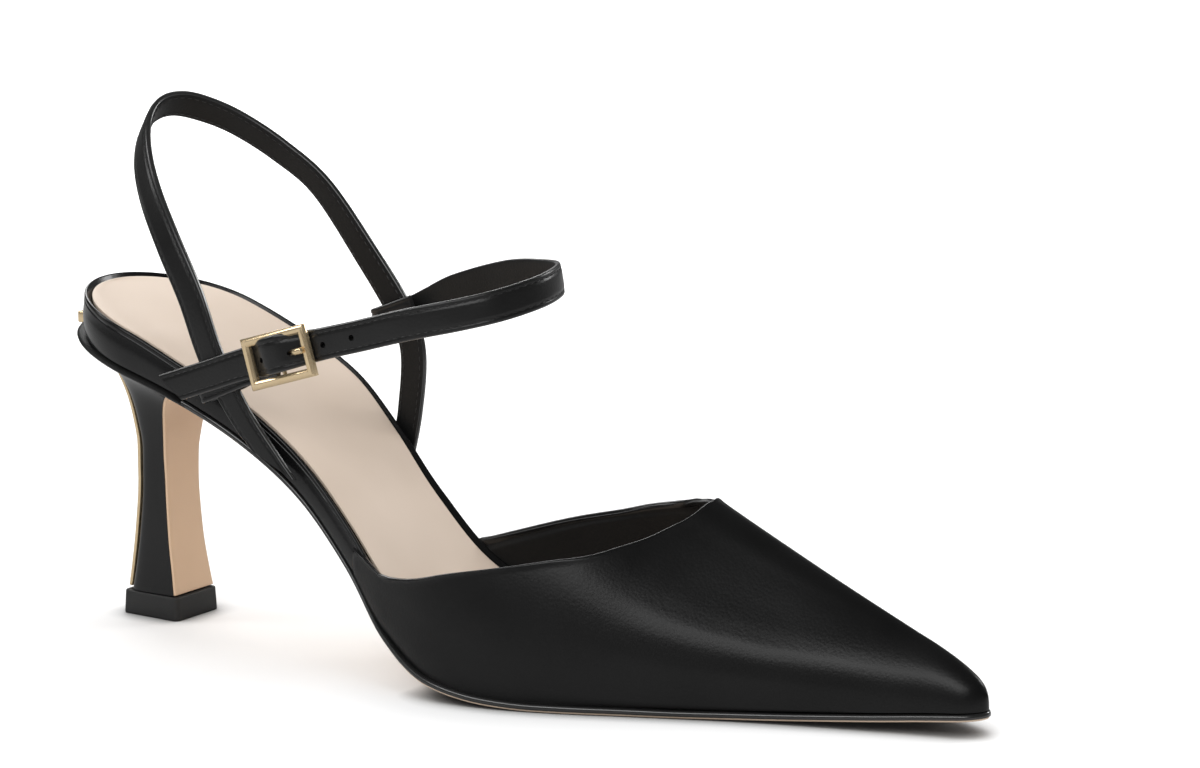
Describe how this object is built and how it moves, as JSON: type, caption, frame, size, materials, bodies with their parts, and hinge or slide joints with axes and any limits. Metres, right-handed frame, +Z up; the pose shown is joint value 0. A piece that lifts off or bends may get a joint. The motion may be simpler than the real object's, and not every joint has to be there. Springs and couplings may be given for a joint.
{
  "type": "slingback pump",
  "caption": "Pointed black leather slingback pump for the right foot, with a buckled ankle strap, nude insole and a flared block heel with a metal back plate.",
  "frame": {"origin": "middle of the shoe's bounding box, on the floor the shoe stands on", "axes": "+X to the toe along the shoe, +Y to the inner side of the right foot, +Z up"},
  "size_m": [0.244, 0.0758, 0.127],
  "materials": {
    "black_leather": "satin, fine grain",
    "nude_leather": "matt, smooth",
    "tan_leather": "satin, smooth",
    "sole_leather": "matt, edges inked black",
    "black_rubber": "matt",
    "gold_metal": "pale gold plate, polished"
  },
  "bodies": {
    "root": {"outsole": "sole_leather", "footbed": "black_leather", "insole_sock": "nude_leather", "vamp": "black_leather", "heel": "black_leather", "heel_breast_panel": "tan_leather", "heel_back_plate": "gold_metal", "heel_top_piece": "black_rubber", "sling_strap": "black_leather", "ankle_strap": "black_leather", "buckle_strap": "black_leather", "buckle_frame": "gold_metal", "buckle_prong": "gold_metal"}
  },
  "joints": []
}
